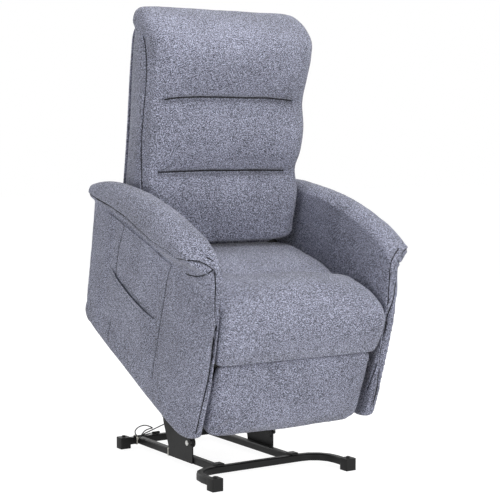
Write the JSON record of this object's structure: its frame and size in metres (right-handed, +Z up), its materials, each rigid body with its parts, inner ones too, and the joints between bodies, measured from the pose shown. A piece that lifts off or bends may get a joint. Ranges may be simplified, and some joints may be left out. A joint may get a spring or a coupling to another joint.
{
  "type": "lift recliner chair",
  "caption": "Powered lift recliner shown raised: a steel base with a four-bar lift carries a seat unit with padded arms, side pockets, a swinging footrest and a reclining back",
  "frame": {"origin": "on the floor, under the middle of the bounding box", "axes": "the chair faces -Y, its left side is +X, up is +Z; the chair is stored raised, its seat unit tipped forward"},
  "size_m": [0.7708, 0.7948, 1.3718],
  "materials": {
    "black_steel": "satin black powder coat",
    "black_plastic": "moulded black",
    "pale_tie": "pale nylon",
    "zinc": "bright zinc plate",
    "motor_case": "moulded dark grey",
    "aluminium": "satin",
    "chrome": "polished rod",
    "timber": "planed, unfinished",
    "fabric": "woven blue-grey melange upholstery"
  },
  "bodies": {
    "base": {"front_tube": "black_steel", "rear_tube": "black_steel", "right_rail": "black_steel", "right_base_bracket": "black_steel", "right_front_foot": "black_plastic", "right_rear_foot": "black_plastic", "left_rail": "black_steel", "left_base_bracket": "black_steel", "left_front_foot": "black_plastic", "left_rear_foot": "black_plastic", "motor_lead": "black_plastic", "lead_plug": "black_plastic", "rear_tube_tie": "pale_tie", "rail_tie": "pale_tie"},
    "front_links": {"right_front_lift_link": "black_steel", "left_front_lift_link": "black_steel", "lift_link_tube": "black_steel"},
    "rear_links": {"right_rear_lift_link": "zinc", "left_rear_lift_link": "zinc"},
    "lift_motor": {"lift_gearbox": "motor_case", "lift_motor": "zinc", "lift_outer_tube": "aluminium"},
    "lift_rod": {"lift_rod": "chrome"},
    "chair": {"seat_cross_tube_1": "black_steel", "seat_cross_tube_2": "black_steel", "lift_head_tube": "black_steel", "right_lift_plate": "black_steel", "right_recline_plate": "black_steel", "right_seat_rail": "timber", "left_lift_plate": "black_steel", "left_recline_plate": "black_steel", "left_seat_rail": "timber", "front_seat_rail": "timber", "rear_seat_rail": "timber", "seat_cushion": "fabric", "seat_spring_1": "zinc", "seat_spring_2": "zinc", "seat_spring_3": "zinc", "right_arm_panel": "fabric", "right_armrest": "fabric", "right_pocket": "fabric", "left_arm_panel": "fabric", "left_armrest": "fabric", "left_pocket": "fabric", "rear_panel": "fabric"},
    "footrest_rear": {"right_rear_footrest_link": "zinc", "left_rear_footrest_link": "zinc", "recline_drive_tube": "black_steel"},
    "footrest_front": {"right_front_footrest_link": "zinc", "left_front_footrest_link": "zinc"},
    "footrest": {"footrest_board": "black_steel", "footrest_pad": "fabric"},
    "recline_motor": {"recline_gearbox": "motor_case", "recline_motor": "zinc", "recline_outer_tube": "aluminium"},
    "recline_rod": {"recline_rod": "chrome"},
    "back": {"back_frame": "black_steel", "back_cushion": "fabric", "back_shell": "fabric"}
  },
  "joints": [
    {"name": "lift", "type": "hinge", "parent": "base", "child": "front_links", "pos_m": [0, 0.03543, 0.075], "axis": [1, 0, 0], "range_deg": [-65.76, 0]},
    {"name": "seat_tilt", "type": "hinge", "parent": "front_links", "child": "chair", "pos_m": [0, 0.16963, 0.34358], "axis": [1, 0, 0], "range_deg": [0, 40.12]},
    {"name": "rear_link_swing", "type": "hinge", "parent": "base", "child": "rear_links", "pos_m": [0, 0.18043, 0.14], "axis": [1, 0, 0], "range_deg": [-91.04, 0]},
    {"name": "lift_motor_swing", "type": "hinge", "parent": "base", "child": "lift_motor", "pos_m": [0, 0.34043, 0.075], "axis": [1, 0, 0], "range_deg": [0, 11.68]},
    {"name": "lift_rod_travel", "type": "slide", "parent": "lift_motor", "child": "lift_rod", "axis": [0, -0.9424, 0.3344], "range_m": [-0.18569, 0]},
    {"name": "recline", "type": "hinge", "parent": "chair", "child": "footrest_rear", "pos_m": [0, -0.15638, 0.43341], "axis": [1, 0, 0], "range_deg": [-84.47, 0]},
    {"name": "footrest_knee", "type": "hinge", "parent": "footrest_rear", "child": "footrest_front", "pos_m": [0, -0.065, 0.25551], "axis": [1, 0, 0], "range_deg": [0, 116.29]},
    {"name": "footrest_tilt", "type": "hinge", "parent": "footrest_front", "child": "footrest", "pos_m": [0, -0.24923, 0.33336], "axis": [1, 0, 0], "range_deg": [-115.83, 0]},
    {"name": "back_recline", "type": "hinge", "parent": "chair", "child": "back", "pos_m": [0, 0.20257, 0.6446], "axis": [1, 0, 0], "range_deg": [-42.01, 0]},
    {"name": "recline_motor_swing", "type": "hinge", "parent": "chair", "child": "recline_motor", "pos_m": [0, 0.15354, 0.54341], "axis": [1, 0, 0], "range_deg": [-8.18, 0]},
    {"name": "recline_rod_travel", "type": "slide", "parent": "recline_motor", "child": "recline_rod", "axis": [0, -0.8166, -0.5772], "range_m": [0, 0.11343]}
  ],
  "couplings": [
    {"joint": "seat_tilt", "follows": "lift", "ratio": -0.60994},
    {"joint": "rear_link_swing", "follows": "lift", "ratio": 1.3842},
    {"joint": "lift_motor_swing", "follows": "lift", "ratio": -0.17741},
    {"joint": "lift_rod_travel", "follows": "lift", "m_per_rad": 0.1617},
    {"joint": "footrest_knee", "follows": "recline", "ratio": -1.3767},
    {"joint": "footrest_tilt", "follows": "recline", "ratio": 1.3711},
    {"joint": "back_recline", "follows": "recline", "ratio": 0.49723},
    {"joint": "recline_motor_swing", "follows": "recline", "ratio": 0.09672},
    {"joint": "recline_rod_travel", "follows": "recline", "m_per_rad": -0.07687}
  ]
}
